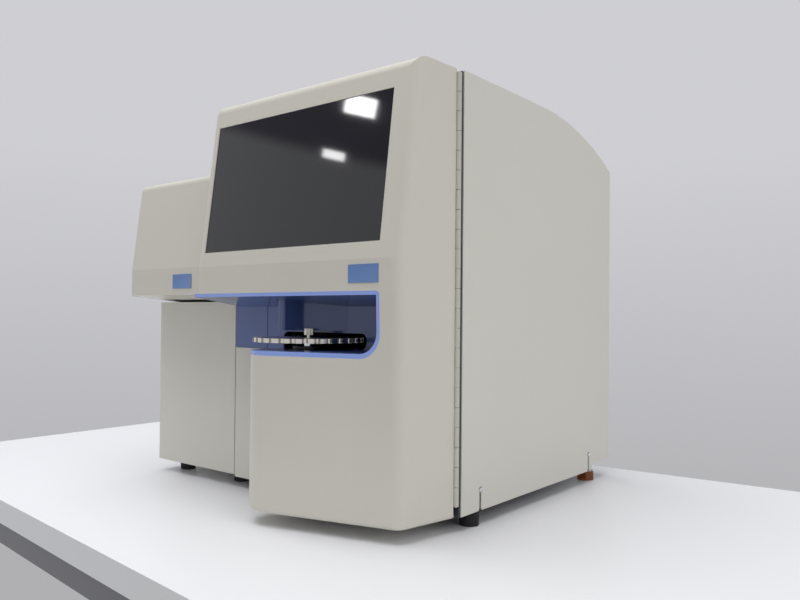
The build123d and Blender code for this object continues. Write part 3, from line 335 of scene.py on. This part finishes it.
def paint_rim_light(material, pale, deepest):
    """Paints light: a paler colour on forward faces in front of a given depth, the lit rim's highlight."""
    net = material.node_tree
    shader = net.nodes["Principled BSDF"]
    deep = shader.inputs["Base Color"].links[0].from_socket
    where = net.nodes.new("ShaderNodeTexCoord")
    facing = net.nodes.new("ShaderNodeSeparateXYZ")
    depth = net.nodes.new("ShaderNodeSeparateXYZ")
    net.links.new(where.outputs["Normal"], facing.inputs[0])
    net.links.new(where.outputs["Object"], depth.inputs[0])
    forward_faces = net.nodes.new("ShaderNodeMapRange")
    forward_faces.inputs["From Min"].default_value = -0.80
    forward_faces.inputs["From Max"].default_value = -0.95
    near_front = net.nodes.new("ShaderNodeMapRange")
    near_front.inputs["From Min"].default_value = deepest
    near_front.inputs["From Max"].default_value = deepest - 0.002
    net.links.new(facing.outputs["Y"], forward_faces.inputs["Value"])
    net.links.new(depth.outputs["Y"], near_front.inputs["Value"])
    both = net.nodes.new("ShaderNodeMath")
    both.operation = "MULTIPLY"
    net.links.new(forward_faces.outputs["Result"], both.inputs[0])
    net.links.new(near_front.outputs["Result"], both.inputs[1])
    # this mix lays the painted rim highlight over the deep blue
    rim = net.nodes.new("ShaderNodeMix")
    rim.data_type = "RGBA"
    rim.inputs["B"].default_value = (*pale, 1)
    net.links.new(both.outputs[0], rim.inputs["Factor"])
    net.links.new(deep, rim.inputs["A"])
    net.links.new(rim.outputs["Result"], shader.inputs["Base Color"])


paint_rim_light(rim_light_gloss, painted_rim_light_blue, rim_depth)
dress(bay_gloss, "ceiling_end", "bay_wall", "bay_end_wall", "sampler_hood")
dress(rim_light_gloss, "bay_liner")

# %% [markdown]
# ## Screen
# The screen is off: one sheet of dark glass over a black panel. What gives it life is reflection,
# so it is smooth, with a barely visible film of dust in its roughness.

# %% Glass
screen = coat("touch_glass", linear(16, 16, 19), roughness=0.045, tint=0.05, pebble=0.0, rough_spread=0.02,
              tint_scale=3.0, specular=0.55)
dress(screen, "display_glass")

# %% [markdown]
# ## Metals
# The piano hinge is rolled steel under a thin pale paint, dull and slightly warm. The carousel
# disc and its clamp knob are turned stainless steel. Brushed or rolled metal has lines along one
# direction, which a noise stretched along that direction gives. Sheets that hide behind the door
# and under the cabinet are dark grey, a painted shade for the dark slots and gaps round the hinge.

# %% Metal finishes
hinge_steel = coat("hinge_rolled_steel", linear(196, 193, 183), roughness=0.44, metallic=0.35, tint=0.08,
                   tint_scale=60, pebble=0.08, pebble_scale=500, stretch=(1, 1, 0.1))
stainless = coat("stainless_turned", linear(196, 192, 184), roughness=0.24, metallic=1.0, tint=0.10,
                 tint_scale=40, pebble=0.05, pebble_scale=700, stretch=(1, 1, 8))
bright_steel = coat("ground_bright_steel", linear(205, 205, 205), roughness=0.15, metallic=1.0, tint=0.05,
                    tint_scale=80, pebble=0.02)
zinc_sheet = coat("zinc_plated_sheet", linear(168, 170, 172), roughness=0.36, metallic=0.9, tint=0.14,
                  tint_scale=45, pebble=0.05, pebble_scale=260)
anodised = coat("anodised_aluminium", linear(190, 192, 195), roughness=0.33, metallic=0.9, tint=0.05,
                tint_scale=30, pebble=0.04)
dress(hinge_steel, "hinge_leaf_door", "hinge_leaf_cabinet")
dress(stainless, "carousel_disc", "clamp_knob")
dress(bright_steel, "hinge_pin", "panel_screws", "carousel_spindle", "guide_rod", "sample_probe",
      "lever_pins", "fan_guard", "data_ports")
# painted shade: this dark grey stands in for the shade seen through the slots and gaps by the hinge
gap_shade_sheet = coat("sheet_painted_gap_shade", linear(58, 59, 62), roughness=0.5, metallic=0.0, tint=0.12,
                  tint_scale=45, pebble=0.12, pebble_scale=900)
dress(gap_shade_sheet, "base_pan", "chassis_plate")
dress(zinc_sheet, "display_module", "door_stiffener", "power_supply", "board_shelf")
dress(anodised, "probe_bracket", "probe_carriage", "module_core")

# %% [markdown]
# ## Plastics, rubber and the board
# The rest are small moulded pieces in black, grey and pale plastic, black rubber feet, amber
# translucent feet at the back, soft pump tube and a green circuit board.

# %% Plastic and rubber finishes
black_plastic = coat("black_moulded_plastic", linear(34, 34, 36), roughness=0.42, tint=0.12, pebble=0.12,
                     pebble_scale=1000)
grey_plastic = coat("grey_moulded_plastic", linear(124, 127, 132), roughness=0.45, tint=0.05, pebble=0.10)
pale_plastic = coat("pale_moulded_plastic", linear(222, 222, 217), roughness=0.38, tint=0.03, pebble=0.06)
rubber = coat("black_foot_rubber", linear(28, 28, 29), roughness=0.78, tint=0.2, tint_scale=80, pebble=0.3,
              pebble_scale=600)
amber = coat("amber_translucent", linear(150, 84, 26), roughness=0.22, tint=0.10, tint_scale=60, pebble=0.03)
amber.node_tree.nodes["Principled BSDF"].inputs["Transmission Weight"].default_value = 0.55
tube_rubber = coat("pump_tube_silicone", linear(214, 208, 192), roughness=0.35, tint=0.05, tint_scale=120)
board_green = coat("circuit_board_green", linear(26, 92, 52), roughness=0.35, tint=0.25, tint_scale=160,
                   pebble=0.2, pebble_scale=300)
dress(black_plastic, "carousel_arm", "probe_actuator", "card_lever_lower", "card_lever_upper", "reagent_tray",
      "fan_frame", "fan_rotor", "power_inlet", "power_rocker")
dress(grey_plastic, "pump_body_lower", "pump_body_upper", "sensor_card_lower", "sensor_card_upper")
dress(pale_plastic, "pump_rotor_lower", "pump_rotor_upper", "sensor_manifold", "reagent_pack_left",
      "reagent_pack_right")
dress(rubber, "front_feet", "module_feet")
dress(amber, "rear_feet")
dress(tube_rubber, "pump_tubes")
dress(board_green, "control_board")

# %% [markdown]
# ## Bare badge plates
# Two small blue plates sit on the brows, one on the door and one on the side module's head. They
# stay bare. Each is a thin plate whose middle lies a little lower than its border, made from a
# cube by two insets and a bevel that softens every edge.

# %% Badge plates
badge_blue = coat("badge_plate_blue", linear(98, 134, 190), roughness=0.30, tint=0.04, tint_scale=40,
                  pebble=0.02)
plate_thickness = 0.0012
plate_sunk = 0.3
border_width = 0.0011
step_width = 0.0002
step_depth = 0.0003
edge_round = 0.00025


def settle(piece, material, body):
    """Puts a piece's place into its mesh, gives it its finish and lets it ride on a body."""
    clear_selection()
    piece.select_set(True)
    bpy.context.view_layer.objects.active = piece
    bpy.ops.object.transform_apply(location=True, rotation=True, scale=True)
    piece.data.materials.clear()
    piece.data.materials.append(material)
    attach(piece, body)


def badge(name, left, right, low, high, front, body):
    """A thin plate on an upright face: a block, its face inset and then lowered, its edges rounded."""
    clear_selection()
    middle = at((left + right) / 2, front - plate_sunk, (low + high) / 2)
    bpy.ops.mesh.primitive_cube_add(size=1, location=middle)
    plate = bpy.context.object
    plate.name = name
    plate.scale = ((right - left) / 1000, plate_thickness, (high - low) / 1000)
    bpy.ops.object.transform_apply(location=False, rotation=False, scale=True)
    bpy.ops.object.mode_set(mode="EDIT")
    bpy.ops.mesh.select_all(action="DESELECT")
    bpy.ops.object.mode_set(mode="OBJECT")
    for face in plate.data.polygons:
        face.select = face.normal.y < -0.9
    bpy.ops.object.mode_set(mode="EDIT")
    bpy.ops.mesh.select_mode(type="FACE")
    bpy.ops.mesh.inset(thickness=border_width, depth=0)
    bpy.ops.mesh.inset(thickness=step_width, depth=-step_depth)
    bpy.ops.object.mode_set(mode="OBJECT")
    edge = plate.modifiers.new("rim", "BEVEL")
    edge.width = edge_round
    edge.segments = 2
    bpy.ops.object.modifier_apply(modifier="rim")
    bpy.ops.object.shade_smooth_by_angle(angle=math.radians(35))
    settle(plate, badge_blue, body)
    return plate


main_badge = badge("badge_plate_door", -90.0, -40.5, 299.0, 322.0, -109.2, "door")
side_badge = badge("badge_plate_module", -498.0, -448.5, 299.5, 322.0, -84.3, "cabinet")
print("badge plates:", main_badge.name, side_badge.name)
